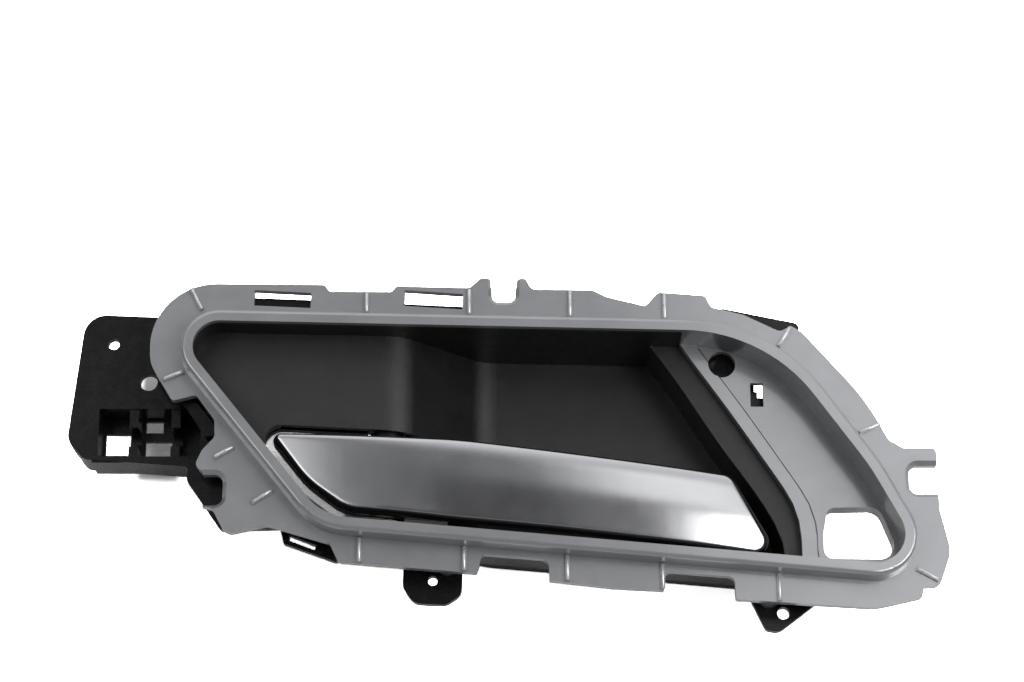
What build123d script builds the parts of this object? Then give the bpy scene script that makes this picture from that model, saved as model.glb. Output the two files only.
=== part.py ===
from build123d import *
import math
import os

os.makedirs("parts", exist_ok=True)

# Interior door handle for a car, in millimetres, as it hangs in a door.
# X runs to the right of the cabin face, Z up, and Y from the cabin into the door.
# Pieces are drawn with the front face of the bezel flange in Y = 0, and are moved as they are
# written, so that the origin is the mouth of the screw hole in the bracket plate.

# Clearances
GAP = 0.3
RUN = 0.04
LAP = 0.5
CURVE_STEPS = 3

# Bezel
FLANGE_T = 2.5
RING_H = 6.0
RING_W = 3.3
RING_DRAFT = 4.0
RING_WALL = 1.6
CROWN_T = 2.0
CROWN_R = 1.1
PANEL_Y = 7.0
PANEL_T = 2.2
STRIP_W = 3.9
STRIP_H = 0.7
SEAM_W = 0.5
SEAM_D = 0.7
RIB_W = 1.1
RIB_H = 0.7
NOTCH_W = 8.0
NOTCH_WALL = 1.5
NOTCH_DEEP = 3.6
NOTCH_BEVEL = 1.3
BOSS_R = 3.0
EAR_W = 0.8
EAR_NECK = 6.0

# Bowl
BOWL_T = 1.6
BOWL_SHALLOW = 5.0
BOWL_DEEP = 27.0
BOWL_FLOOR_T = 2.0
LEDGE_Y = 9.5
LEDGE_T = 2.0
LEVER_SLOT = 2.6
BEAD_W = 1.5
BEAD_H = 0.7

# Housing
PLATE_Y = 11.8
PLATE_T = 2.5
HOUSING_GROW = 4.3
HOUSING_WALL = 1.6
HOUSING_RIM_Y = 3.2
BRACKET_Y = 8.0
BRACKET_T = 2.5
TAB_Y = 10.0
TAB_T = 2.5
BRACKET_HOLE = (-105.8, 30.5, 1.5)

# Lever and hinge
LEVER_SHELL_T = 2.0
LEVER_SHELL_DEEP = 4.2
LEVER_RIM = 0.5
LEVER_EDGE_R = 1.8
LEVER_RIM_T = 2.4
PIN_X = -33.0
PIN_Y = 12.0
PIN_R = 1.5
BUSH_T = 1.0
PIN_HEAD_R = 2.6
PIN_HEAD_T = 1.2
GROOVE_DEEP = 0.45
RING_T = 0.8
FIT = 0.02
KNUCKLE_R = 4.4
KNUCKLE_LOW = (-14.0, -9.4)
KNUCKLE_HIGH = (-2.4, 6.6)
LUG_LOW = (-21.2, -18.2)
LUG_HIGH = (7.3, 10.3)
LUG_HALF = 4.6
WASHER_T = 0.6
SPRING_WIRE_R = 0.5
SPRING_COIL_R = 2.9
SPRING_TURNS = 5
SPRING_LEG = 7.0
ARM_L = 10.0
ARM_R = 3.0
ARM_Z = (-1.8, 4.0)
LEVER_OPEN = 38.0
BUMPER_R = 3.2
BUMPER_T = 2.0
REST_GAP = 0.1
LEVER_BACK = 10.5
WEB_TOP = 1.0

# Screws
SCREW_R = 1.5
SCREW_HEAD_R = 2.8
SCREW_HEAD_T = 2.0
SCREW_L = 9.0

# Front-view outlines, clockwise: x, z and corner radius.
RING_INNER = [
    (-90.9, 32.9, 6.8),
    (66.1, 29.5, 42.0),
    (92.1, -6.9, 60.0),
    (106.3, -33.6, 7.8),
    (-48.7, -19.9, 15.0),
]
FLANGE = [
    (-95.6, 44.9, 17.0), (-49.6, 44.5, 1.0), (-48.2, 42.6, 1.0), (-31.9, 42.5, 1.0),
    (-30.6, 44.1, 0.8), (-11.2, 43.6, 2.0), (-8.4, 46.3, 0.8), (-5.6, 46.3, 0.7),
    (-5.6, 44.0, 0.0), (1.2, 44.0, 0.0), (1.2, 46.2, 0.7), (3.6, 46.2, 0.8),
    (5.2, 43.2, 2.0), (21.2, 43.0, 2.0), (25.0, 41.1, 2.0), (35.2, 38.5, 1.0),
    (38.6, 42.4, 1.6), (51.0, 41.4, 1.0), (52.6, 38.2, 1.5), (61.0, 36.1, 6.0),
    (70.6, 31.4, 2.0), (73.4, 33.1, 0.8), (76.4, 31.2, 3.0), (92.0, 13.2, 60.0),
    (98.0, 1.8, 1.5), (101.6, -0.4, 1.5), (110.2, -0.4, 1.2), (110.4, -17.0, 3.0),
    (112.9, -28.0, 8.0), (109.6, -37.2, 2.5), (105.4, -37.4, 0.6), (105.0, -40.2, 1.2),
    (93.0, -42.9, 12.0), (57.3, -40.6, 0.5), (57.0, -34.7, 1.8), (39.4, -33.2, 1.8),
    (39.0, -38.3, 0.4), (26.0, -37.6, 4.0), (9.6, -35.7, 0.4), (9.4, -30.1, 2.2),
    (-7.6, -28.7, 0.9), (-9.0, -33.8, 0.6), (-44.6, -30.8, 1.5), (-47.0, -25.8, 1.2),
    (-57.6, -22.6, 4.0), (-63.1, -21.0, 3.0), (-73.8, -23.6, 3.0), (-77.6, -16.4, 1.5),
    (-80.2, -15.8, 0.0), (-80.2, -7.0, 0.0), (-82.4, -5.0, 2.0), (-80.6, -1.0, 2.0),
    (-77.4, 2.6, 1.5), (-77.6, 7.2, 1.5), (-82.6, 14.0, 1.2), (-88.8, 12.4, 1.2),
    (-95.0, 22.6, 10.0),
]
LEVER = [
    (-64.0, 5.0, 1.6),
    (-14.0, 2.3, 150.0),
    (57.0, -6.5, 4.0),
    (68.9, -27.0, 3.0),
    (12.0, -20.1, 150.0),
    (-43.5, -16.3, 12.0),
    (-53.5, -8.6, 30.0),
]
STRIP_EDGE = [(43.5, 31.6), (56.5, 12.6), (68.9, -6.2), (74.0, -15.6), (75.2, -23.0), (75.0, -33.0)]
BOWL_EDGE = [(33.0, 34.5), (41.9, 22.8), (55.5, 1.6), (66.9, -15.4), (70.6, -24.1), (70.4, -34.0)]


def view_plane(y):
    """Front-view plane at a depth: local x is X, local y is Z, and it faces the cabin."""
    return Plane(origin=(0, y, 0), x_dir=(1, 0, 0), z_dir=(0, -1, 0))


def outline(corners):
    """Face of a closed outline whose corners are each rounded by their own radius."""
    count = len(corners)
    arcs = []
    for i, (x, z, radius) in enumerate(corners):
        here = Vector(x, z)
        into = (here - Vector(*corners[i - 1][:2])).normalized()
        away = (Vector(*corners[(i + 1) % count][:2]) - here).normalized()
        half = math.radians(into.get_angle(away)) / 2
        reach = radius * math.tan(half)
        middle = here + (away - into).normalized() * radius * (1 / math.cos(half) - 1)
        arcs.append((here - into * reach, middle, here + away * reach, radius))
    edges = []
    for i, (start, middle, end, radius) in enumerate(arcs):
        if radius > 0:
            edges.append(ThreePointArc(start, middle, end))
        follow = arcs[(i + 1) % count][0]
        if (follow - end).length > 1e-4:
            edges.append(Line(end, follow))
    return make_face(edges)


def grown(corners, by):
    """Corners of the same outline with every side moved out by a distance."""
    sides = []
    for i, (x, z, radius) in enumerate(corners):
        start = Vector(x, z)
        ahead = corners[(i + 1) % len(corners)]
        along = (Vector(ahead[0], ahead[1]) - start).normalized()
        sides.append((start + Vector(-along.Y, along.X) * by, along))
    result = []
    for i, (x, z, radius) in enumerate(corners):
        before, into = sides[i - 1]
        after, away = sides[i]
        cross = into.X * away.Y - into.Y * away.X
        step = ((after.X - before.X) * away.Y - (after.Y - before.Y) * away.X) / cross
        corner = before + into * step
        new_radius = radius + (by if cross < 0 else -by)
        result.append((corner.X, corner.Y, max(new_radius, 0.0)))
    return result


def slab(face, front, back, taper=0.0):
    """Solid of a front-view face between two depths; a positive taper narrows the front."""
    return extrude(view_plane(back) * face, amount=back - front, taper=taper)


def box(x0, x1, front, back, z0, z1):
    """Block between two positions on each axis."""
    block = Box(x1 - x0, back - front, z1 - z0, align=(Align.MIN, Align.MIN, Align.MIN))
    return Pos(x0, front, z0) * block


def rod(x, z, radius, front, back):
    """Cylinder along Y."""
    return slab(Pos(x, z) * Circle(radius), front, back)


def post(x, y, radius, low, high):
    """Cylinder along Z."""
    column = Cylinder(radius, high - low, align=(Align.CENTER, Align.CENTER, Align.MIN))
    return Pos(x, y, low) * column


def polygon(points):
    """Sharp-cornered front-view face."""
    return make_face(Polyline(*[Vector(x, z) for x, z in points], close=True))


def band(edge, near, far):
    """Strip of face between two sideways shifts of a polyline."""
    first = [(x + near, z) for x, z in edge]
    second = [(x + far, z) for x, z in edge]
    return polygon(first + second[::-1])


def save(shape, name):
    """Writes one node, moved so that the origin is the mouth of the bracket's screw hole."""
    hole_x, hole_z, _ = BRACKET_HOLE
    shape = Pos(-hole_x, -BRACKET_Y, -hole_z) * shape
    shape.label = name
    export_step(shape, f"parts/{name}.step")


def smooth(points):
    """Closely spaced points along a smooth curve through a few given ones."""
    curve = Spline(*[Vector(x, z) for x, z in points])
    count = CURVE_STEPS * (len(points) - 1)
    return [((curve @ (i / count)).X, (curve @ (i / count)).Y) for i in range(count + 1)]


STRIP_EDGE = smooth(STRIP_EDGE)
BOWL_EDGE = smooth(BOWL_EDGE)

# Regions of the front view that several pieces share
inside = outline(RING_INNER)
right_of_strip = polygon(STRIP_EDGE + [(130.0, -60.0), (130.0, 60.0), (43.5, 60.0)])
panel_face = inside & right_of_strip

# Bezel: flange, ring and lock panel
flange = slab(outline(FLANGE), 0.0, FLANGE_T)
ring = slab(outline(grown(RING_INNER, RING_W + RING_H * math.tan(math.radians(RING_DRAFT)))),
            -RING_H, FLANGE_T, RING_DRAFT)
crown_edges = ring.faces().sort_by(Axis.Y)[0].edges()
ring = fillet(crown_edges, CROWN_R)
bezel = flange + ring
bezel -= slab(inside, -RING_H - 1.0, FLANGE_T + 1.0)
pocket_grow = RING_W + RING_H * math.tan(math.radians(RING_DRAFT)) - RING_WALL
bezel -= slab(outline(grown(RING_INNER, pocket_grow)), -RING_H + CROWN_T, FLANGE_T + 1.0)

# The ring's inner wall runs back to the lock panel along the panel only
panel_side = outline(grown(RING_INNER, pocket_grow)) & right_of_strip
bezel += slab(panel_side - inside, -RING_H + CROWN_T - 0.5, PANEL_Y + PANEL_T)
panel = slab(panel_side, PANEL_Y, PANEL_Y + PANEL_T)
strip = panel_face & band(STRIP_EDGE, 0.0, STRIP_W)
panel += slab(strip, PANEL_Y - STRIP_H, PANEL_Y + 0.1)
seam = outline(grown(RING_INNER, -0.4)) & band(STRIP_EDGE, STRIP_W, STRIP_W + SEAM_W)
panel -= slab(seam, PANEL_Y - STRIP_H - 0.5, PANEL_Y + SEAM_D)

LOCK_X = 55.5
LOCK_Z = 24.55
LOCK_R = 3.6
LOCK_ROOM = 1.0
CUT_OUT = [
    (82.2, -14.6, 2.2), (95.6, -14.4, 4.0), (100.3, -26.6, 4.0), (96.0, -28.4, 3.0),
    (81.0, -28.2, 2.5), (80.9, -22.0, 6.0),
]
CUT_WALL = 1.5
CUT_BACK = 13.0
SLOT_X0, SLOT_X1, SLOT_Z0, SLOT_Z1 = 62.9, 66.3, 12.9, 19.4
collar = slab(outline(grown(CUT_OUT, CUT_WALL)) & panel_side, PANEL_Y, CUT_BACK)
panel += collar
panel -= slab(outline(CUT_OUT), PANEL_Y - 2.0, CUT_BACK + 1.0)
panel -= rod(LOCK_X, LOCK_Z, LOCK_R, PANEL_Y - 2.0, PANEL_Y + PANEL_T + 1.0)
panel -= box(SLOT_X0, SLOT_X1, PANEL_Y - 2.0, PANEL_Y + PANEL_T + 1.0, SLOT_Z0, SLOT_Z1)
bezel += panel

# Mounting notches with a bevelled rim and a collar behind; each opens along its own direction
NOTCHES = {
    "top": (-2.2, 46.0, 6.0, 0.0),
    "right": (109.6, -8.7, 6.6, -90.0),
    "left": (-80.6, -11.4, 5.6, 90.0),
}
NOTCH_SIZE = {"top": 6.2, "right": 7.6, "left": 8.2}


def notch_face(name, grow):
    """Closed-bottom slot running from beyond the flange edge to its rounded end."""
    x, z, deep, turn = NOTCHES[name]
    width = NOTCH_SIZE[name] + 2 * grow
    slot = Rectangle(width, deep + grow + 4.0, align=(Align.CENTER, Align.MIN))
    slot = fillet(slot.vertices().sort_by(Axis.Y)[:2], min(width * 0.3, 2.2 + grow))
    return Pos(x, z) * (Rot(0, 0, turn) * (Pos(0, -deep - grow) * slot))


for name in NOTCHES:
    collar = notch_face(name, NOTCH_WALL) & outline(FLANGE)
    bezel += slab(collar, 0.5, NOTCH_DEEP)
for name in NOTCHES:
    bezel -= slab(notch_face(name, 0.0), -RING_H, NOTCH_DEEP + 1.0)
    bevel = extrude(view_plane(NOTCH_BEVEL) * notch_face(name, 0.0), amount=NOTCH_BEVEL + 0.2,
                    taper=-40.0)
    bezel -= bevel

# Clip windows through the flange
for corners in (
    [(-68.0, 43.0), (-53.1, 42.2), (-53.2, 38.0), (-68.1, 38.7)],
    [(-28.3, 43.0), (-13.0, 41.9), (-13.1, 37.6), (-28.4, 38.6)],
):
    bezel -= slab(polygon(corners), -1.0, FLANGE_T + 1.0)

# Crush ribs on the flange face, each between two points
RIBS = [
    ((-84.8, 43.3), (-81.8, 37.4)), ((-38.4, 42.3), (-38.4, 36.6)), ((-11.3, 43.3), (-11.3, 36.0)),
    ((15.3, 42.8), (15.3, 35.4)), ((40.2, 41.9), (40.2, 34.8)), ((73.3, 32.5), (70.0, 27.3)),
    ((95.9, 6.0), (90.4, 3.6)), ((109.3, -35.6), (103.8, -32.6)), ((68.4, -41.0), (68.4, -33.8)),
    ((38.6, -38.0), (38.6, -31.2)), ((14.2, -35.8), (14.2, -29.0)), ((-12.3, -33.2), (-12.3, -26.6)),
    ((-39.3, -31.0), (-39.3, -24.4)), ((-67.2, -15.2), (-62.0, -11.8)),
    ((-77.4, -3.0), (-72.3, -0.1)), ((-91.4, 18.2), (-86.0, 20.4)),
]
for (x0, z0), (x1, z1) in RIBS:
    length = math.hypot(x1 - x0, z1 - z0)
    angle = math.degrees(math.atan2(z1 - z0, x1 - x0))
    rib = Pos((x0 + x1) / 2, (z0 + z1) / 2) * (Rot(0, 0, angle) * Rectangle(length, RIB_W))
    rib = slab(rib & outline(FLANGE), -RIB_H, 0.1)
    bezel += rib

# Screw bosses behind the flange
BEZEL_SCREWS = [(-40.0, 39.3), (12.0, 39.3), (82.9, 17.8), (66.5, -37.6), (-16.8, -29.0)]
for x, z in BEZEL_SCREWS:
    bezel += rod(x, z, BOSS_R, FLANGE_T - 0.3, PLATE_Y)
    bezel -= rod(x, z, SCREW_R, FLANGE_T, PLATE_Y + 1.0)
save(bezel, "bezel")

# Bowl: the finger recess, shallow on the left and deep on the right
def floor_profile(below):
    """Space in front of the bowl floor, seen from above, moved back by a distance."""
    face = outline([
        (-130.0, -12.0, 0.0), (130.0, -12.0, 0.0), (130.0, BOWL_DEEP + below, 0.0),
        (-8.0, BOWL_DEEP + below, 9.0), (-29.0, BOWL_SHALLOW + below, 11.0),
        (-130.0, BOWL_SHALLOW + below, 0.0),
    ])
    return extrude(Pos(0, 0, -60) * face, amount=120)


left_of_strip = polygon([(x - GAP, z) for x, z in STRIP_EDGE] + [(-130.0, -33.0), (-130.0, 31.6)])
left_of_strip += polygon([(-130.0, 31.0), (43.2, 31.0), (43.2, 60.0), (-130.0, 60.0)])
left_of_rim = polygon(BOWL_EDGE + [(-130.0, -34.0), (-130.0, 34.5)])
left_of_rim_back = polygon([(x + BOWL_T + 0.4, z) for x, z in BOWL_EDGE]
                           + [(-130.0, -34.0), (-130.0, 34.5)])
rim_grow = 0.15
bowl_in = outline(grown(RING_INNER, rim_grow))
bowl_out = outline(grown(RING_INNER, rim_grow + BOWL_T))
rim_front = -RING_H + CROWN_T + 0.2
bowl_front = slab(bowl_out & left_of_strip, rim_front, LEDGE_Y + 0.1)
ledge_limit = polygon([(x + 6.0, z) for x, z in STRIP_EDGE] + [(-130.0, -33.0), (-130.0, 31.6)])
ledge = (bowl_in & ledge_limit) - outline(grown(CUT_OUT, CUT_WALL + 0.5))
ledge -= Pos(LOCK_X, LOCK_Z) * Circle(LOCK_R + LOCK_ROOM)
bowl = bowl_front + slab(ledge, LEDGE_Y, LEDGE_Y + LEDGE_T)
bowl += slab(bowl_out & left_of_rim_back, LEDGE_Y, BOWL_DEEP + BOWL_FLOOR_T)
bowl = bowl & floor_profile(BOWL_FLOOR_T)
recess = slab(bowl_in & left_of_rim, rim_front - 1.0, BOWL_DEEP + 1.0)
recess = recess & floor_profile(0.0)
bowl -= slab(bowl_in & left_of_strip, rim_front - 1.0, LEDGE_Y) & floor_profile(0.0)
bowl -= recess

# A bead follows the right rim of the recess
bead = bowl_in & band(BOWL_EDGE, 0.1, 0.1 + BEAD_W)
bowl += slab(bead, LEDGE_Y - BEAD_H, LEDGE_Y + 0.2)

# The lever passes through a slot in the shallow floor and the ramp
slot_end = Pos(-75.0, 0.0) * Rectangle(116.0, 120.0)
lever_slot = outline(grown(LEVER, LEVER_SLOT)) & slot_end
bowl -= slab(lever_slot, BOWL_SHALLOW - 2.0, BOWL_DEEP)

# A post behind the lever carries its rest pad
REST_X = 40.0
REST_Z = -14.5
bowl += rod(REST_X, REST_Z, BUMPER_R + 1.0, LEVER_BACK + REST_GAP + BUMPER_T, BOWL_DEEP + 0.5)
save(bowl, "bowl")

# Housing: plate, a wall behind the bezel left of the lock panel, bracket plate, tabs, lugs and cable channel
BRACKET = [
    (-113.4, 38.9, 6.0), (-84.0, 37.6, 0.0), (-70.0, 20.0, 0.0), (-46.0, -12.0, 0.0),
    (-60.0, -19.8, 0.0), (-75.8, -20.4, 1.5), (-85.2, -7.0, 2.0), (-85.0, -3.2, 1.0),
    (-112.5, -1.2, 3.0), (-117.0, 4.0, 4.5),
]
CHANNEL = (-108.8, -82.0, -0.4, 12.6)
CHANNEL_BACK = 18.0
CABLE_Y = 13.0
CABLE_Z = 5.0
SHEATH_R = 2.6
WALL_T = 1.6
bowl_hole = outline(grown(RING_INNER, rim_grow + BOWL_T + 0.4)) & polygon(
    [(x + BOWL_T + 0.9, z) for x, z in BOWL_EDGE] + [(-31.0, -34.0), (-31.0, 34.5)])
bowl_hole += outline(grown(LEVER, LEVER_SLOT + 0.6)) & slot_end

plate_face = outline(grown(RING_INNER, HOUSING_GROW))
for x, z in BEZEL_SCREWS:
    plate_face += Pos(x, z) * Circle(BOSS_R + EAR_W)
    plate_face += Pos(x, z - math.copysign(EAR_NECK / 2, z)) * Rectangle(2 * BOSS_R, EAR_NECK)
rim_face = outline(grown(RING_INNER, HOUSING_GROW))
rim_face -= outline(grown(RING_INNER, HOUSING_GROW - HOUSING_WALL))
rim_face -= right_of_strip
housing = slab(plate_face, PLATE_Y, PLATE_Y + PLATE_T)
housing += slab(rim_face, HOUSING_RIM_Y, PLATE_Y + 0.5)
housing += slab(outline(BRACKET), BRACKET_Y, BRACKET_Y + BRACKET_T)
bracket_wall = outline(BRACKET) - outline(grown(BRACKET, -WALL_T))
bracket_side = Pos(-101.0, 17.0) * Rectangle(34.0, 44.0)
housing += slab(bracket_wall & bracket_side, BRACKET_Y + 1.0, 15.0)
bottom_side = Pos(-101.0, -2.0) * Rectangle(34.0, 5.2)
housing += slab(bracket_wall & bottom_side, BRACKET_Y + 1.0, 19.0)

# Cable channel sunk into the bracket plate, with windows in its floor
cx0, cx1, cz0, cz1 = CHANNEL
housing -= box(cx0, cx1, BRACKET_Y - 1.0, CHANNEL_BACK, cz0, cz1)
channel = box(cx0 - WALL_T, cx1 + WALL_T, BRACKET_Y + 0.5, CHANNEL_BACK + WALL_T,
              cz0 - WALL_T, cz1 + WALL_T)
channel -= box(cx0, cx1, BRACKET_Y - 1.0, CHANNEL_BACK, cz0, cz1)
SADDLES = [-99.6, -88.6]
for x in SADDLES:
    saddle = box(x - 1.2, x + 1.2, BRACKET_Y + 0.4, CHANNEL_BACK + 0.5, cz0 - 0.5, cz1 + 0.5)
    channel += saddle
for x0, x1, z0, z1 in (
    (-108.2, -101.6, 2.6, 8.4), (-97.6, -93.0, 8.8, 12.0), (-97.6, -90.6, 0.6, 6.4),
):
    channel -= box(x0, x1, CHANNEL_BACK - 0.5, CHANNEL_BACK + 3.0, z0, z1)
run = Pos(cx1, 0, 0) * box(-40.0, 4.0, BRACKET_Y - 1.0, CABLE_Y, CABLE_Z - SHEATH_R, CABLE_Z + SHEATH_R)
run += Pos(0, CABLE_Y, CABLE_Z) * (Rot(0, 90, 0) * Cylinder(SHEATH_R, 400.0))
for x in SADDLES:
    channel -= run & box(x - 2.0, x + 2.0, 0.0, 30.0, -10.0, 20.0)
channel -= run & box(cx1 - 1.0, cx1 + 3.0, 0.0, 30.0, -10.0, 20.0)
housing += channel

# Clip tower beside the left cut-out and latch behind the left window
tower = polygon([(-88.0, 15.4), (-84.6, 15.4), (-76.0, 4.2), (-80.4, 4.0)])
housing += slab(tower, 4.2, BRACKET_Y + 1.0)
LATCHES = [
    [(-69.6, 34.7), (-69.6, 41.95), (-51.6, 41.25), (-51.6, 34.7)],
    [(-29.9, 34.7), (-29.9, 40.25), (-11.6, 39.35), (-11.6, 34.7)],
]
for corners in LATCHES:
    housing += slab(polygon(corners), HOUSING_RIM_Y, HOUSING_RIM_Y + 2.2)
    foot = polygon(corners) & outline(grown(RING_INNER, HOUSING_GROW + 3.2))
    housing += slab(foot, HOUSING_RIM_Y, PLATE_Y + 0.5)

# Tabs round the edge
BOTTOM_TAB = [
    (-28.0, -24.0, 0.0), (-12.8, -25.0, 0.0), (-13.0, -37.0, 3.0), (-17.0, -39.8, 3.5),
    (-25.6, -39.4, 4.0), (-28.4, -34.8, 2.0),
]
RIGHT_TAB = [(58.6, -31.0, 0.0), (80.0, -33.5, 0.0), (78.6, -39.6, 1.0), (69.0, -47.0, 3.5),
             (65.6, -46.4, 1.5)]
TOP_TAB = [(55.0, 29.0, 0.0), (55.4, 41.4, 1.0), (76.4, 37.0, 1.2), (78.0, 20.0, 0.0)]
HOOK = [(-62.0, -14.0, 0.0), (-44.5, -22.0, 0.0), (-45.2, -28.6, 0.8), (-59.6, -23.4, 0.8)]
for corners in (BOTTOM_TAB, RIGHT_TAB, TOP_TAB, HOOK):
    tab = outline(corners) - outline(grown(RING_INNER, HOUSING_GROW - HOUSING_WALL))
    housing += slab(tab, TAB_Y, TAB_Y + TAB_T)
hook_slot = outline([(-58.0, -21.2, 0.0), (-51.0, -24.0, 0.0), (-51.4, -25.2, 0.0), (-58.2, -22.6, 0.0)])
housing -= slab(hook_slot, TAB_Y - 1.0, TAB_Y + TAB_T + 1.0)

# Everything the bowl, lever, bosses and cut-out need is cleared in one go
housing -= slab(bowl_hole, BOWL_SHALLOW, BOWL_DEEP + 10.0)
clear = outline(grown(CUT_OUT, CUT_WALL + 0.5))
housing -= slab(clear, HOUSING_RIM_Y - 2.0, PLATE_Y + PLATE_T + 1.0)
for x, z in BEZEL_SCREWS:
    housing -= rod(x, z, BOSS_R + GAP, HOUSING_RIM_Y - 2.0, PLATE_Y)
    housing -= rod(x, z, SCREW_R + 0.2, PLATE_Y - 1.0, PLATE_Y + PLATE_T + 1.0)

pin_reach = (PIN_X - LUG_HALF, PIN_X + LUG_HALF)
knuckle_room = (pin_reach[0] - 0.6, pin_reach[1] + 0.6)
housing -= box(*knuckle_room, BOWL_SHALLOW, PIN_Y + 20.0, LUG_LOW[1], LUG_HIGH[0])

# Stepped sight hole behind the panel's slot
sight = polygon([(64.3, 21.8), (69.0, 21.8), (69.0, 16.7), (65.1, 16.7), (65.1, 18.4), (64.3, 18.4)])
housing -= slab(sight, PLATE_Y - 1.0, PLATE_Y + PLATE_T + 1.0)

BRACKET_EYE = (-96.1, 19.9, 2.3)
TAB_HOLE = (-20.6, -33.4, 1.3)
RIGHT_HOLE = (70.2, -42.0, 1.6)
for (x, z, radius), front in ((BRACKET_HOLE, BRACKET_Y), (BRACKET_EYE, BRACKET_Y),
                              (TAB_HOLE, TAB_Y), (RIGHT_HOLE, TAB_Y)):
    housing -= rod(x, z, radius, front - 1.0, front + 4.0)

# Hinge lugs, and a bridge from the upper lug to the open stop
stop_face = PIN_X + ARM_L * math.sin(math.radians(LEVER_OPEN)) + ARM_R + 0.2
stop_back = stop_face + BUMPER_T
bridge_y = PIN_Y + ARM_L - 2.0
for low, high in (LUG_LOW, LUG_HIGH):
    housing += box(*pin_reach, PIN_Y - 3.0, PIN_Y + 5.0, low, high)
housing += box(*pin_reach, PIN_Y + 4.0, bridge_y + 6.0, *LUG_HIGH)
housing += box(PIN_X, stop_back + 2.2, bridge_y - 1.0, bridge_y + 6.0, *LUG_HIGH)
housing += box(stop_back, stop_back + 2.2, bridge_y - 1.0, bridge_y + 6.0, -3.6, LUG_HIGH[1])
spring_post = (PIN_X + 0.4, PIN_X + LUG_HALF, PIN_Y + 4.8, PIN_Y + 7.6)
housing += box(*spring_post, LUG_LOW[0], KNUCKLE_HIGH[0] - 0.3)
housing -= box(PIN_X - 4.4, PIN_X + 4.4, BOWL_SHALLOW, PIN_Y + 4.6, LUG_HIGH[1], LUG_HIGH[1] + 2.6)
housing -= post(PIN_X, PIN_Y, PIN_HEAD_R + 0.6, -40.0, LUG_LOW[0])
housing -= post(PIN_X, PIN_Y, PIN_R + FIT, LUG_LOW[0] - 1.0, LUG_HIGH[1] + 1.0)

# The spring lies between the knuckles; its legs sit in holes in the core and the housing
coil_low = KNUCKLE_LOW[1] + 0.3 + SPRING_WIRE_R
coil_high = KNUCKLE_HIGH[0] - 0.3 - SPRING_WIRE_R
pitch = (coil_high - coil_low) / SPRING_TURNS
coil = Pos(PIN_X, PIN_Y, coil_low) * Helix(pitch, coil_high - coil_low, SPRING_COIL_R)


def leg_hole(end, along):
    """Clearance round a straight spring leg that starts at a coil end."""
    hole = Cylinder(SPRING_WIRE_R + FIT, SPRING_LEG + 1.5,
                    align=(Align.CENTER, Align.CENTER, Align.MIN))
    return Plane(end, z_dir=along) * hole


housing -= leg_hole(coil @ 1, coil % 1)
save(housing, "housing")

# Lever: a curved cover over a core that carries the knuckles and the cable arm
def behind_face(back):
    """Space from a distance behind the lever's curved front face to far behind it."""
    left = Vector(-75.0, 3.6 + back)
    middle = Vector(5.0, -0.6 + back)
    right = Vector(75.0, 4.6 + back)
    arc = ThreePointArc(left, middle, right)
    side = Polyline(right, Vector(75.0, 60.0), Vector(-75.0, 60.0), left)
    return extrude(Pos(0, 0, -60) * make_face([arc, side]), amount=120)


shell_solid = slab(outline(LEVER), -5.0, 30.0) & behind_face(0.0)
shell_solid -= behind_face(LEVER_SHELL_DEEP)
front_edges = shell_solid.faces().sort_by(Axis.Y)[0].edges()
shell_solid = fillet(front_edges, LEVER_EDGE_R)
hollow = slab(outline(grown(LEVER, -LEVER_SHELL_T)), -5.0, 30.0) & behind_face(LEVER_SHELL_T)
lever_shell = shell_solid - hollow

core_fit = outline(grown(LEVER, -LEVER_SHELL_T - GAP))
core = slab(core_fit, -5.0, LEVER_BACK) & behind_face(LEVER_SHELL_T + GAP)
rim = slab(outline(grown(LEVER, LEVER_RIM)), -5.0, 30.0) & behind_face(LEVER_SHELL_DEEP + 0.05)
rim -= behind_face(LEVER_SHELL_DEEP + LEVER_RIM_T)
core += rim
POCKETS = [(-22.0, -15.5), (-5.5, 13.5), (23.5, 33.5), (47.0, 56.0)]
for x0, x1 in POCKETS:
    cell = Pos((x0 + x1) / 2, -9.0) * Rectangle(x1 - x0, 60.0)
    cell = cell & outline(grown(LEVER, -LEVER_SHELL_T - GAP - 1.8))
    core -= slab(cell, 4.6, LEVER_BACK + 1.0)

bush_r = PIN_R + RUN + BUSH_T
knuckle_low, knuckle_high = KNUCKLE_LOW, KNUCKLE_HIGH
for low, high in (knuckle_low, knuckle_high):
    core += post(PIN_X, PIN_Y, KNUCKLE_R, low, high)
    web = min(high, WEB_TOP)
    core += box(PIN_X - KNUCKLE_R, PIN_X + KNUCKLE_R, 5.0, PIN_Y, low, web)
ARM_END = PIN_Y + ARM_L + 0.65 * ARM_R
arm = post(PIN_X, PIN_Y + ARM_L, ARM_R, *ARM_Z)
arm += box(PIN_X - ARM_R, PIN_X + ARM_R, PIN_Y, PIN_Y + ARM_L, *ARM_Z)
arm -= box(PIN_X - 2 * ARM_R, PIN_X + 2 * ARM_R, ARM_END, ARM_END + 2 * ARM_R, *ARM_Z)
core += arm
core -= box(PIN_X - 6.0, PIN_X + 6.0, PIN_Y - KNUCKLE_R - 0.6, PIN_Y + KNUCKLE_R,
            knuckle_low[1], knuckle_high[0])
core -= post(PIN_X, PIN_Y, bush_r + FIT, knuckle_low[0] - 1.0, knuckle_high[1] + 1.0)

# Socket for the cable end in the arm's end, entered from behind, with a slot for the wire
SOCKET_R = 1.9
SOCKET_L = 4.4
SOCKET_SLOT = 1.2
socket_z = (ARM_Z[0] + ARM_Z[1]) / 2
core -= rod(PIN_X, socket_z, SOCKET_R, ARM_END - SOCKET_L, ARM_END + 1.0)
core -= box(PIN_X - ARM_R - 1.0, PIN_X, ARM_END - SOCKET_L, ARM_END + 1.0,
            socket_z - SOCKET_SLOT / 2, socket_z + SOCKET_SLOT / 2)

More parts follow.
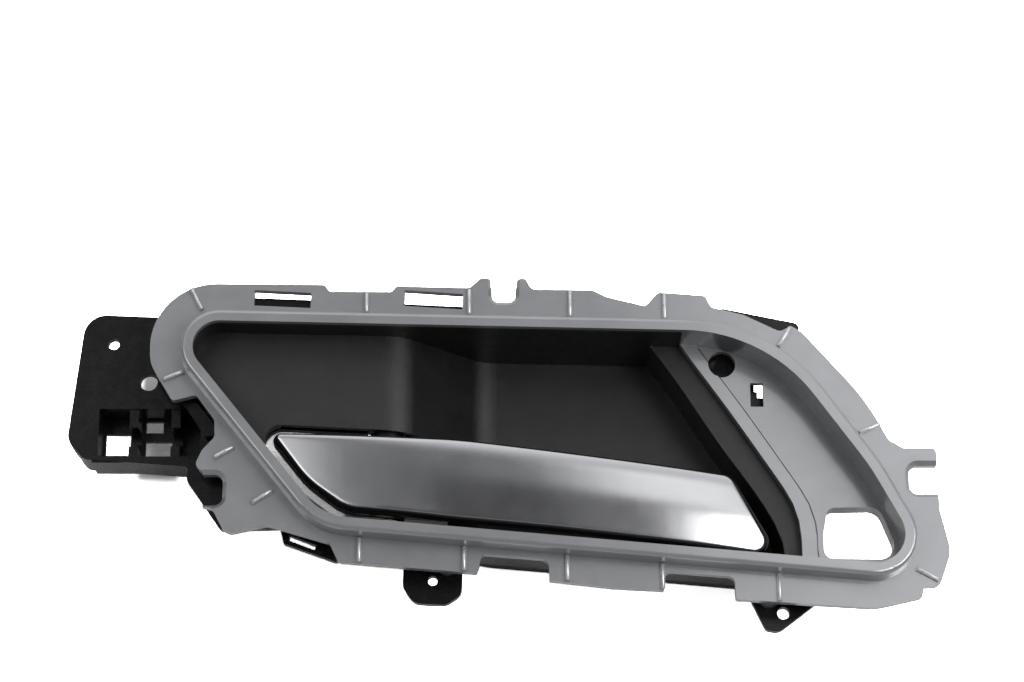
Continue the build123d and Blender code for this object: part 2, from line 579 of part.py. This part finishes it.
core -= leg_hole(coil @ 0, (coil % 0) * -1.0)
SHELL_SCREWS = [(-10.5, -8.5), (18.5, -11.5)]
SHELL_BOSS_R = 2.6
SHELL_BOSS_Y = 5.4
SHELL_SEAT_Y = 7.3
SHELL_SCREW_L = 4.5
for x, z in SHELL_SCREWS:
    lever_shell += slab(Pos(x, z) * Circle(SHELL_BOSS_R), 0.8, SHELL_BOSS_Y) & behind_face(0.5)
    core -= rod(x, z, SHELL_BOSS_R + GAP, -5.0, SHELL_BOSS_Y + GAP)
    core -= rod(x, z, SCREW_R + 0.2, 0.0, LEVER_BACK + 1.0)
    core -= rod(x, z, SCREW_HEAD_R + GAP, SHELL_SEAT_Y, LEVER_BACK + 1.0)
    lever_shell -= rod(x, z, SCREW_R, SHELL_SEAT_Y - SHELL_SCREW_L - 0.2, 8.0)
save(lever_shell, "lever_shell")
save(core, "lever_core")

# Hinge hardware
for name, (low, high) in (("bush_lower", knuckle_low), ("bush_upper", knuckle_high)):
    bush = post(PIN_X, PIN_Y, bush_r, low, high) - post(PIN_X, PIN_Y, PIN_R + RUN, low - 1.0, high + 1.0)
    save(bush, name)
washer_r = KNUCKLE_R - 0.4
for name, low in (("washer_lower", LUG_LOW[1] + 0.05), ("washer_upper", knuckle_high[1] + 0.05)):
    washer = post(PIN_X, PIN_Y, washer_r, low, low + WASHER_T)
    washer -= post(PIN_X, PIN_Y, PIN_R + RUN, low - 1.0, low + 2.0)
    save(washer, name)

ring_low = LUG_HIGH[1] + 0.05
pin = post(PIN_X, PIN_Y, PIN_R, LUG_LOW[0] - 0.1, ring_low + RING_T + 0.7)
pin = chamfer(pin.edges().sort_by(Axis.Z)[-1], 0.4)
head_top = LUG_LOW[0] - 0.05
head = post(PIN_X, PIN_Y, PIN_HEAD_R, head_top - PIN_HEAD_T, head_top)
head = fillet(head.edges().sort_by(Axis.Z)[0], 0.5)
groove = post(PIN_X, PIN_Y, PIN_R + 1.0, ring_low, ring_low + RING_T + 0.05)
groove -= post(PIN_X, PIN_Y, PIN_R - GROOVE_DEEP, ring_low - 1.0, ring_low + 2.0)
pin = pin - groove + head
save(pin, "hinge_pin")

pin_ring = post(PIN_X, PIN_Y, 3.1, ring_low, ring_low + RING_T)
pin_ring -= post(PIN_X, PIN_Y, PIN_R - GROOVE_DEEP + FIT, ring_low - 1.0, ring_low + 2.0)
mouth = box(PIN_X - 0.95, PIN_X + 0.95, PIN_Y, PIN_Y + 5.0, ring_low - 1.0, ring_low + 2.0)
pin_ring -= mouth
for side in (-1, 1):
    pin_ring -= post(PIN_X + side * 1.9, PIN_Y + 1.0, 0.55, ring_low - 1.0, ring_low + 2.0)
save(pin_ring, "pin_ring")

# Torsion spring: coil between the knuckles, one leg to the core and one to the housing
leg_in = Line(coil @ 0 - (coil % 0) * SPRING_LEG, coil @ 0)
leg_out = Line(coil @ 1, coil @ 1 + (coil % 1) * SPRING_LEG)
wire = Wire([leg_in, coil, leg_out])
spring = sweep(Plane(wire @ 0, z_dir=wire % 0) * Circle(SPRING_WIRE_R), path=wire)
save(spring, "return_spring")

# Rubber pads
rest = rod(REST_X, REST_Z, BUMPER_R, LEVER_BACK + REST_GAP, LEVER_BACK + REST_GAP + BUMPER_T)
save(rest, "rest_bumper")
pad = Cylinder(BUMPER_R - 0.2, BUMPER_T, align=(Align.CENTER, Align.CENTER, Align.MIN))
pad = Pos(stop_face, bridge_y + 2.6, (ARM_Z[0] + ARM_Z[1]) / 2) * (Rot(0, 90, 0) * pad)
save(pad, "stop_bumper")


def screw(length, head_r=SCREW_HEAD_R):
    """Pan-head screw with a cross recess, head down, pointing up its own Z."""
    body = Cylinder(SCREW_R - 0.05, length, align=(Align.CENTER, Align.CENTER, Align.MIN))
    head = Pos(0, 0, -SCREW_HEAD_T) * Cylinder(head_r, SCREW_HEAD_T,
                                               align=(Align.CENTER, Align.CENTER, Align.MIN))
    head = fillet(head.edges().sort_by(Axis.Z)[0], 0.7)
    whole = head + body
    for turn in (0, 90):
        bar = Rot(0, 0, turn) * Box(2 * head_r * 0.62, 0.7, 2.2)
        whole -= Pos(0, 0, -SCREW_HEAD_T) * bar
    return whole


for i, (x, z) in enumerate(BEZEL_SCREWS):
    fixing = Pos(x, PLATE_Y + PLATE_T, z) * (Rot(90, 0, 0) * screw(SCREW_L))
    save(fixing, f"bezel_screw_{i + 1}")
for i, (x, z) in enumerate(SHELL_SCREWS):
    fixing = Pos(x, SHELL_SEAT_Y, z) * (Rot(90, 0, 0) * screw(SHELL_SCREW_L))
    save(fixing, f"shell_screw_{i + 1}")
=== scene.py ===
import math

import bmesh
import bpy
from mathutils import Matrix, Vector


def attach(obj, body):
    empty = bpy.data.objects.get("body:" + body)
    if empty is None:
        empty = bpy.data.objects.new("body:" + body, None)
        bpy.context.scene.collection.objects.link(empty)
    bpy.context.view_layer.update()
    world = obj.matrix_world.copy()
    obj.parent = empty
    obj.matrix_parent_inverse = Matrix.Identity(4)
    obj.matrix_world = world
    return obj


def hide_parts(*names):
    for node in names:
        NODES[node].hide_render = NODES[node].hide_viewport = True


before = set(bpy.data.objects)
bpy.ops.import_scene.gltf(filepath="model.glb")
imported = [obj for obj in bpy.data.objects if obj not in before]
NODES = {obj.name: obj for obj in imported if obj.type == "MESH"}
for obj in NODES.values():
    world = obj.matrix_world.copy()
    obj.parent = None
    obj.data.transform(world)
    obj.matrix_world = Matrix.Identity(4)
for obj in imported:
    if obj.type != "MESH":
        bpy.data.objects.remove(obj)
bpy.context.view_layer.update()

MM = 0.001
# Where the middle of the bezel's front face lies in the frame, whose origin is the bracket's hole
ORIGIN = Vector((105.8, -8.0, -30.5)) * MM


def place(x, y, z):
    """A point given from the middle of the bezel's front face, in millimetres."""
    return Vector((x, y, z)) * MM + ORIGIN


# Node helpers
def material(name):
    """New node material, its node tree and its Principled shader."""
    m = bpy.data.materials.new(name)
    m.use_nodes = True
    tree = m.node_tree
    shader = next(n for n in tree.nodes if n.type == "BSDF_PRINCIPLED")
    return m, tree, shader


def node(tree, kind, **values):
    """Adds a node and sets its properties, or its inputs where it has no such property."""
    made = tree.nodes.new(kind)
    for key, value in values.items():
        if hasattr(made, key):
            setattr(made, key, value)
        else:
            made.inputs[key.replace("_", " ")].default_value = value
    return made


def noise(tree, scale, detail, rough=0.55):
    """Noise in object space; scale counts features a metre."""
    coords = tree.nodes.new("ShaderNodeTexCoord")
    made = node(tree, "ShaderNodeTexNoise", Scale=scale, Detail=detail, Roughness=rough)
    tree.links.new(coords.outputs["Object"], made.inputs["Vector"])
    return made


def ramp(tree, source, low, high, start=0.35, end=0.65):
    """Maps a factor to a blend of two colours or two grey values."""
    made = tree.nodes.new("ShaderNodeValToRGB")
    made.color_ramp.elements[0].position = start
    made.color_ramp.elements[1].position = end
    made.color_ramp.elements[0].color = (*low, 1.0)
    made.color_ramp.elements[1].color = (*high, 1.0)
    tree.links.new(source, made.inputs["Fac"])
    return made


def bump(tree, shader, source, distance):
    """Bump in metres on top of any bump already on the shader."""
    made = node(tree, "ShaderNodeBump", Distance=distance, Strength=1.0)
    tree.links.new(source, made.inputs["Height"])
    normal = shader.inputs["Normal"]
    if normal.is_linked:
        tree.links.new(normal.links[0].from_socket, made.inputs["Normal"])
    tree.links.new(made.outputs["Normal"], normal)


# How much finer the roughness drift is than the colour drift
WEAR_FINER = 3.7


def finish_of(name, low, high, metallic, rough, scale=180.0, rough_spread=0.05,
              grain=None, coat=0.0, specular=0.5, coat_rough=0.15):
    """A surface with slow colour drift, roughness drift and optional fine grain."""
    m, tree, shader = material(name)
    drift = noise(tree, scale, 4.0)
    colour = ramp(tree, drift.outputs["Fac"], low, high)
    tree.links.new(colour.outputs["Color"], shader.inputs["Base Color"])
    wear = noise(tree, scale * WEAR_FINER, 5.0)
    spread = ramp(tree, wear.outputs["Fac"], (rough - rough_spread,) * 3,
                  (rough + rough_spread,) * 3, 0.3, 0.7)
    tree.links.new(spread.outputs["Color"], shader.inputs["Roughness"])
    shader.inputs["Metallic"].default_value = metallic
    shader.inputs["Coat Weight"].default_value = coat
    shader.inputs["Coat Roughness"].default_value = coat_rough
    shader.inputs["Specular IOR Level"].default_value = specular
    for size, depth in grain or ():
        fine = noise(tree, size, 2.0, 0.5)
        bump(tree, shader, fine.outputs["Fac"], depth)
    return m


def sums(tree, kind, first, second, third=0.0):
    """Maths on two or three values, each a socket or a number."""
    made = tree.nodes.new("ShaderNodeMath")
    made.operation = kind
    for at, value in enumerate((first, second, third)):
        if isinstance(value, (int, float)):
            made.inputs[at].default_value = value
        else:
            tree.links.new(value, made.inputs[at])
    return made.outputs["Value"]


def position(tree):
    """Object-space X and Z, in metres."""
    coords = tree.nodes.new("ShaderNodeTexCoord")
    split = tree.nodes.new("ShaderNodeSeparateXYZ")
    tree.links.new(coords.outputs["Object"], split.inputs["Vector"])
    return split.outputs["X"], split.outputs["Z"]


def step_up(tree, value, start, end):
    """0 at the start, 1 at the end, smooth between; the end may be the lower value."""
    made = tree.nodes.new("ShaderNodeMapRange")
    made.interpolation_type = "SMOOTHSTEP"
    made.inputs["From Min"].default_value = start
    made.inputs["From Max"].default_value = end
    tree.links.new(value, made.inputs["Value"])
    return made.outputs["Result"]


# Finishes
SILVER = finish_of("silver_paint", (0.270, 0.274, 0.285), (0.299, 0.304, 0.315), 0.55, 0.32,
                   60.0, 0.03, [(9000.0, 0.00001)], coat=0.9, coat_rough=0.1)
BOWL = finish_of("grained_black", (0.005, 0.005, 0.0055), (0.008, 0.008, 0.0085), 0.0, 0.35,
                 120.0, 0.04, [(7000.0, 0.00005), (12000.0, 0.00002)], specular=0.5)
BLACK = finish_of("moulded_black", (0.003, 0.003, 0.0033), (0.005, 0.005, 0.0055), 0.0, 0.26,
                  90.0, 0.04, [(5000.0, 0.00001)], specular=0.3)
CORE = finish_of("core_black", (0.004, 0.004, 0.0043), (0.006, 0.006, 0.0065), 0.0, 0.42, 90.0,
                 specular=0.25)
CHROME = finish_of("satin_chrome", (0.40, 0.403, 0.413), (0.44, 0.443, 0.453), 1.0, 0.23,
                   25.0, 0.02)
# Brighter silver for the rib crests: a painted highlight where light catches the ribs
RIB_HIGHLIGHT = finish_of("silver_painted_highlight", (0.52, 0.525, 0.54), (0.66, 0.665, 0.68), 0.6, 0.3, 300.0, 0.05)
STEEL = finish_of("bright_steel", (0.5, 0.5, 0.5), (0.62, 0.62, 0.62), 1.0, 0.28, 400.0)
SPRING = finish_of("spring_steel", (0.30, 0.30, 0.31), (0.42, 0.42, 0.43), 1.0, 0.34, 600.0)
BUSH = finish_of("bush_plastic", (0.60, 0.57, 0.50), (0.68, 0.66, 0.58), 0.0, 0.5, 300.0)
RUBBER = finish_of("pad_rubber", (0.018, 0.018, 0.018), (0.03, 0.03, 0.03), 0.0, 0.8, 500.0,
                   0.05, [(3000.0, 0.00008)])
ZINC = finish_of("zinc_screw", (0.45, 0.45, 0.42), (0.62, 0.61, 0.58), 1.0, 0.36, 500.0)

LOOKS = {
    "bezel": SILVER, "bowl": BOWL, "housing": BLACK, "lever_shell": CHROME, "lever_core": CORE,
    "hinge_pin": STEEL, "pin_ring": SPRING, "return_spring": SPRING, "bush_upper": BUSH,
    "bush_lower": BUSH, "washer_upper": BUSH, "washer_lower": BUSH, "rest_bumper": RUBBER,
    "stop_bumper": RUBBER,
}
for name, piece in NODES.items():
    piece.data.materials.clear()
    piece.data.materials.append(LOOKS.get(name, ZINC))

# Lever cover with an upper and a lower face and rolled edges, in place of the plain CAD shell.
# Its corners are x, z and radius, clockwise from the upper left.
LEVER = [
    (-64.2, 5.2, 1.8), (-14.0, 2.6, 150.0), (57.2, -6.2, 4.4), (69.1, -28.1, 3.6),
    (12.0, -22.0, 150.0), (-43.2, -16.7, 12.0), (-53.8, -8.9, 30.0),
]
ROLL_W = 1.3
ROLL_DEEP = 4.2
ROLL_STEPS = 10
LIP_W = 1.4
LEAST_R = 0.25
MERGE = 0.02 * MM

# Middle line of the face, as its height at x = 0 and its slope, and the line of its soft crease
MIDDLE_Z, MIDDLE_SLOPE = -9.3, -0.093
MIDDLE_X = (-48.0, 56.0)
MIDDLE_STEP = 4.0
INWARD_STEPS = 12
CREASE_Z, CREASE_SLOPE = -9.9, -0.122
CREASE_SOFT = 1.3
LEAN = 0.15
LEAN_FADE = (-36.0, 26.0)

# Where each end and the top begin to turn back, over what length, and how far
LEFT_TURN = (-38.0, 26.0, 0.5)
RIGHT_TURN = (32.0, 36.0, 1.2)
TOP_TURN = (5.5, 0.022)
ARC = [(-75.0, 3.6), (5.0, -0.6), (75.0, 4.6)]


def inset(corners, by):
    """The same outline with every side moved inward and its corners kept round."""
    sides = []
    for i, (x, z, _) in enumerate(corners):
        ahead = corners[(i + 1) % len(corners)]
        along = Vector((ahead[0] - x, ahead[1] - z)).normalized()
        sides.append((Vector((x, z)) + Vector((along.y, -along.x)) * by, along))
    moved = []
    for i, (x, z, radius) in enumerate(corners):
        before, into = sides[i - 1]
        after, away = sides[i]
        cross = into.x * away.y - into.y * away.x
        step = ((after.x - before.x) * away.y - (after.y - before.y) * away.x) / cross
        corner = before + into * step
        moved.append((corner.x, corner.y, max(radius - by, LEAST_R)))
    return moved


def loop_of(corners, arc_steps=12, side_steps=24):
    """Points round an outline: the same number for every inset of it."""
    ends = []
    for i, (x, z, radius) in enumerate(corners):
        here = Vector((x, z))
        into = (here - Vector(corners[i - 1][:2])).normalized()
        away = (Vector(corners[(i + 1) % len(corners)][:2]) - here).normalized()
        turn = math.acos(max(-1.0, min(1.0, into.dot(away))))
        reach = radius * math.tan(turn / 2)
        centre = here - into * reach + Vector((into.y, -into.x)) * radius
        start = here - into * reach - centre
        points = []
        for k in range(arc_steps + 1):
            angle = -turn * k / arc_steps
            points.append(centre + Vector((start.x * math.cos(angle) - start.y * math.sin(angle),
                                           start.x * math.sin(angle) + start.y * math.cos(angle))))
        ends.append(points)
    loop = []
    for i, points in enumerate(ends):
        follow = ends[(i + 1) % len(ends)][0]
        loop += points
        loop += [points[-1].lerp(follow, k / side_steps) for k in range(1, side_steps)]
    return loop


def face_y(x, z):
    """Depth of the cover's face: an arc along it, an upper face and a lower one that leans back."""
    above = z - CREASE_Z - CREASE_SLOPE * x
    lean = LEAN * CREASE_SOFT * math.log(1.0 + math.exp(-above / CREASE_SOFT))
    fade = max(0.0, min(1.0, (x - LEAN_FADE[0]) / LEAN_FADE[1]))
    lean *= fade * fade * (3.0 - 2.0 * fade)
    top = max(0.0, above - TOP_TURN[0])
    left = max(0.0, (LEFT_TURN[0] - x) / LEFT_TURN[1])
    right = max(0.0, (x - RIGHT_TURN[0]) / RIGHT_TURN[1])
    ends = LEFT_TURN[2] * left ** 2 + RIGHT_TURN[2] * right ** 2
    return circle_y(x) + lean + TOP_TURN[1] * top ** 2 + ends


def circle_y(x):
    """Depth on the arc through the three points that the CAD face is drawn through."""
    (ax, ay), (bx, by), (cx, cy) = ARC
    d = 2 * (ax * (by - cy) + bx * (cy - ay) + cx * (ay - by))
    ux = ((ax ** 2 + ay ** 2) * (by - cy) + (bx ** 2 + by ** 2) * (cy - ay)
          + (cx ** 2 + cy ** 2) * (ay - by)) / d
    uy = ((ax ** 2 + ay ** 2) * (cx - bx) + (bx ** 2 + by ** 2) * (ax - cx)
          + (cx ** 2 + cy ** 2) * (bx - ax)) / d
    return uy - math.sqrt((bx - ux) ** 2 + (by - uy) ** 2 - (x - ux) ** 2)


def lever_cover():
    """Rings from the back lip over the rolled edge, then inward to the middle line."""
    rings = []
    back = loop_of(LEVER)
    lip = loop_of(inset(LEVER, LIP_W))
    rings.append([(p.x, circle_y(p.x) + ROLL_DEEP, p.y) for p in lip])
    rings.append([(p.x, circle_y(p.x) + ROLL_DEEP, p.y) for p in back])
    for k in range(1, ROLL_STEPS + 1):
        t = math.pi / 2 * k / ROLL_STEPS
        by = ROLL_W * (1 - math.cos(t))
        points = loop_of(inset(LEVER, by))
        mix = math.sin(t)
        rings.append([(p.x, face_y(p.x, p.y) * mix + (circle_y(p.x) + ROLL_DEEP) * (1 - mix), p.y)
                      for p in points])
    last = loop_of(inset(LEVER, ROLL_W))
    for k in range(1, INWARD_STEPS + 1):
        ring = []
        for p in last:
            mid_x = MIDDLE_STEP * round(max(MIDDLE_X[0], min(MIDDLE_X[1], p.x)) / MIDDLE_STEP)
            mid = Vector((mid_x, MIDDLE_Z + MIDDLE_SLOPE * mid_x))
            q = p.lerp(mid, k / INWARD_STEPS)
            ring.append((q.x, face_y(q.x, q.y), q.y))
        rings.append(ring)
    count = len(back)
    verts = [place(*v) for ring in rings for v in ring]
    faces = []
    for a in range(len(rings) - 1):
        for i in range(count):
            j = (i + 1) % count
            faces.append((a * count + i, a * count + j, (a + 1) * count + j, (a + 1) * count + i))
    mesh = bpy.data.meshes.new("lever_cover")
    mesh.from_pydata(verts, [], faces)
    work = bmesh.new()
    work.from_mesh(mesh)
    bmesh.ops.remove_doubles(work, verts=work.verts, dist=MERGE)
    bmesh.ops.recalc_face_normals(work, faces=work.faces)
    work.to_mesh(mesh)
    work.free()
    mesh.polygons.foreach_set("use_smooth", [True] * len(mesh.polygons))
    made = bpy.data.objects.new("lever_cover", mesh)
    bpy.context.scene.collection.objects.link(made)
    mesh.materials.append(CHROME)
    return made


cover = lever_cover()
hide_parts("lever_shell")
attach(cover, "lever")

# Rounded crests on the flange's short ribs, coloured a brighter silver as a painted highlight
RIBS = [
    ((-84.8, 43.3), (-81.8, 37.4)), ((-38.4, 42.3), (-38.4, 36.6)), ((-11.3, 43.3), (-11.3, 36.0)),
    ((15.3, 42.8), (15.3, 35.4)), ((40.2, 41.9), (40.2, 34.8)), ((73.3, 32.5), (70.0, 27.3)),
    ((95.9, 6.0), (90.4, 3.6)), ((109.3, -35.6), (103.8, -32.6)), ((68.4, -41.0), (68.4, -33.8)),
    ((38.6, -38.0), (38.6, -31.2)), ((14.2, -35.8), (14.2, -29.0)), ((-12.3, -33.2), (-12.3, -26.6)),
    ((-39.3, -31.0), (-39.3, -24.4)), ((-67.2, -15.2), (-62.0, -11.8)),
    ((-77.4, -3.0), (-72.3, -0.1)), ((-91.4, 18.2), (-86.0, 20.4)),
]
CREST_R = 0.62
CREST_UP = 0.9
CREST_SEAT = -0.05
CREST_CUTS = 10
# How far from each end a section stands, and how wide it is there
CREST_ENDS = [(0.0, 0.35), (0.15, 0.75), (0.45, 1.0)]


def rib_crests():
    """One mesh of half-round bars that stand a little proud of the ribs."""
    work = bmesh.new()
    for (x0, z0), (x1, z1) in RIBS:
        a, b = Vector((x0, z0)), Vector((x1, z1))
        along = (b - a).normalized()
        across = Vector((along.y, -along.x))
        length = (b - a).length
        sections = CREST_ENDS + [(length - at, wide) for at, wide in reversed(CREST_ENDS)]
        rows = []
        for at, wide in sections:
            centre = a + along * at
            row = []
            for k in range(CREST_CUTS + 1):
                t = math.pi * k / CREST_CUTS
                flat = centre + across * (CREST_R * wide * math.cos(t))
                front = CREST_SEAT - CREST_UP * wide * math.sin(t)
                row.append(work.verts.new(place(flat.x, front, flat.y)))
            rows.append(row)
        for first, second in zip(rows, rows[1:]):
            for k in range(CREST_CUTS):
                work.faces.new((first[k], first[k + 1], second[k + 1], second[k]))
        for row in (rows[0], rows[-1]):
            work.faces.new(row)
    bmesh.ops.recalc_face_normals(work, faces=work.faces)
    mesh = bpy.data.meshes.new("rib_crests")
    work.to_mesh(mesh)
    work.free()
    mesh.polygons.foreach_set("use_smooth", [True] * len(mesh.polygons))
    made = bpy.data.objects.new("rib_crests", mesh)
    bpy.context.scene.collection.objects.link(made)
    mesh.materials.append(RIB_HIGHLIGHT)
    return made


crests = rib_crests()
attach(crests, "carrier")

# Backdrop: the white table behind the part
BACK_Y = 29.3
BACK_HALF = 2500
SEEN_LAYERS = 9
PAPER = (0.8, 0.8, 0.8, 1)
PAPER_SEEN = (0.98, 0.97, 0.955, 1)
# Darker paper colour for the painted shadow behind the part
PAPER_SHADED = (0.62, 0.60, 0.57, 1)
SHADE_EDGE = 1.5

# Stretches of paper with painted shadow, in frame millimetres: x, x, z, z and how deep the painted
# shade is
SHADE = [
    (38.5, 64.0, -44.0, -17.5, 0.62),
    (60.0, 93.0, -48.0, -38.0, 1.0),
    (4.5, 16.0, -32.0, -12.0, 0.9),
    (5.0, 12.0, -9.0, 1.0, 0.92),
]


def plane(name, corners, look):
    """One flat quad with its material."""
    mesh = bpy.data.meshes.new(name)
    mesh.from_pydata([tuple(c) for c in corners], [], [(0, 1, 2, 3)])
    made = bpy.data.objects.new(name, mesh)
    bpy.context.scene.collection.objects.link(made)
    mesh.materials.append(look)
    return made


wall = bpy.data.materials.new("backdrop_white")
wall.use_nodes = True
tree = wall.node_tree
shader = next(n for n in tree.nodes if n.type == "BSDF_PRINCIPLED")
shader.inputs["Base Color"].default_value = PAPER
shader.inputs["Roughness"].default_value = 0.9
shader.inputs["Specular IOR Level"].default_value = 0.0
output = next(n for n in tree.nodes if n.type == "OUTPUT_MATERIAL")

# Seen directly the paper is over-bright, so only deep shadow on it stays grey
seen = None
for _ in range(SEEN_LAYERS):
    layer = node(tree, "ShaderNodeBsdfDiffuse", Color=PAPER_SEEN)
    if seen is None:
        seen = layer.outputs["BSDF"]
    else:
        both = tree.nodes.new("ShaderNodeAddShader")
        tree.links.new(seen, both.inputs[0])
        tree.links.new(layer.outputs["BSDF"], both.inputs[1])
        seen = both.outputs["Shader"]
# Painted shadow: a darker paper colour mixed in where the paper lies close behind the part
px, pz = position(tree)
inside = None
for x0, x1, z0, z1, depth in SHADE:
    within = []
    for value, low, high in ((px, x0, x1), (pz, z0, z1)):
        rises = step_up(tree, value, (low - SHADE_EDGE) * MM, (low + SHADE_EDGE) * MM)
        falls = step_up(tree, value, (high + SHADE_EDGE) * MM, (high - SHADE_EDGE) * MM)
        within.append(sums(tree, "MULTIPLY", rises, falls))
    patch = sums(tree, "MULTIPLY", sums(tree, "MULTIPLY", *within), depth)
    inside = patch if inside is None else sums(tree, "MAXIMUM", inside, patch)
shade = node(tree, "ShaderNodeBsdfDiffuse", Color=PAPER_SHADED)
dimmed = tree.nodes.new("ShaderNodeMixShader")
tree.links.new(inside, dimmed.inputs["Fac"])
tree.links.new(seen, dimmed.inputs[1])
tree.links.new(shade.outputs["BSDF"], dimmed.inputs[2])
seen = dimmed.outputs["Shader"]
rays = tree.nodes.new("ShaderNodeLightPath")
direct = tree.nodes.new("ShaderNodeMixShader")
tree.links.new(rays.outputs["Is Camera Ray"], direct.inputs["Fac"])
tree.links.new(shader.outputs["BSDF"], direct.inputs[1])
tree.links.new(seen, direct.inputs[2])
clear = tree.nodes.new("ShaderNodeBsdfTransparent")
side = tree.nodes.new("ShaderNodeNewGeometry")
mix = tree.nodes.new("ShaderNodeMixShader")
tree.links.new(side.outputs["Backfacing"], mix.inputs["Fac"])
tree.links.new(direct.outputs["Shader"], mix.inputs[1])
tree.links.new(clear.outputs["BSDF"], mix.inputs[2])
tree.links.new(mix.outputs["Shader"], output.inputs["Surface"])
corners = [place(x, BACK_Y, z) for x, z in ((-BACK_HALF, -BACK_HALF), (BACK_HALF, -BACK_HALF),
                                            (BACK_HALF, BACK_HALF), (-BACK_HALF, BACK_HALF))]
backdrop = plane("backdrop", corners, wall)

# World: darker at the horizon than above and below, so that the flats read as metal
scene = bpy.context.scene
world = bpy.data.worlds.new("studio")
scene.world = world
world.use_nodes = True
tree = world.node_tree
sky = tree.nodes["Background"]
sky.inputs["Strength"].default_value = 1.0
towards = tree.nodes.new("ShaderNodeTexCoord")
split = tree.nodes.new("ShaderNodeSeparateXYZ")
tree.links.new(towards.outputs["Generated"], split.inputs["Vector"])
height = sums(tree, "MULTIPLY_ADD", split.outputs["Z"], 0.5, 0.5)
rise = tree.nodes.new("ShaderNodeValToRGB")

# Height from straight down (0) to straight up (1), and the grey there
SKY = [(0.0, 0.38), (0.28, 0.30), (0.40, 0.06), (0.50, 0.06), (0.60, 0.15), (0.70, 0.28),
       (0.80, 0.38), (1.0, 0.46)]
rise.color_ramp.elements[0].position, rise.color_ramp.elements[1].position = SKY[0][0], SKY[-1][0]
for at, level in SKY[1:-1]:
    rise.color_ramp.elements.new(at)
for stop, (at, level) in zip(rise.color_ramp.elements, SKY):
    stop.color = (level, level * 1.01, level * 1.04, 1)
tree.links.new(height, rise.inputs["Fac"])
tree.links.new(rise.outputs["Color"], sky.inputs["Color"])

# Lamps: name, place, size, power in watts and the point each one faces
LAMPS = [
    ("key_right", (370, -640, -95), (240, 180), 1.5, (40, 0, 0)),
    ("side_right", (215, -640, 180), (260, 220), 0.32, (60, 0, 0)),
    ("fill_top", (60, -560, 760), (1700, 900), 4.6, (0, 0, 0)),
    ("rim_left", (-420, -640, 60), (360, 300), 0.9, (0, 0, 0)),
    ("glow_right", (600, -520, 0), (300, 400), 1.7, (0, 0, 0)),
]


def lamp(name, at, size, power, aim):
    """Rectangular area lamp that faces a point on the part."""
    data = bpy.data.lights.new(name, "AREA")
    data.shape = "RECTANGLE"
    data.size, data.size_y = size[0] * MM, size[1] * MM
    data.energy = power
    made = bpy.data.objects.new(name, data)
    scene.collection.objects.link(made)
    made.location = place(*at)
    made.rotation_euler = (place(*aim) - place(*at)).to_track_quat("-Z", "Y").to_euler()


for row in LAMPS:
    lamp(*row)

# Camera, a little below the part and looking up
CAMERA_AT = (0, -720, -206.5)
CAMERA_UP = 18.1
data = bpy.data.cameras.new("camera")
data.sensor_width = 36.0
data.lens = 101.25
camera = bpy.data.objects.new("camera", data)
scene.collection.objects.link(camera)
camera.location = place(*CAMERA_AT)
camera.rotation_euler = (math.radians(90 + CAMERA_UP), 0, 0)
scene.camera = camera
scene.view_settings.view_transform = "Standard"
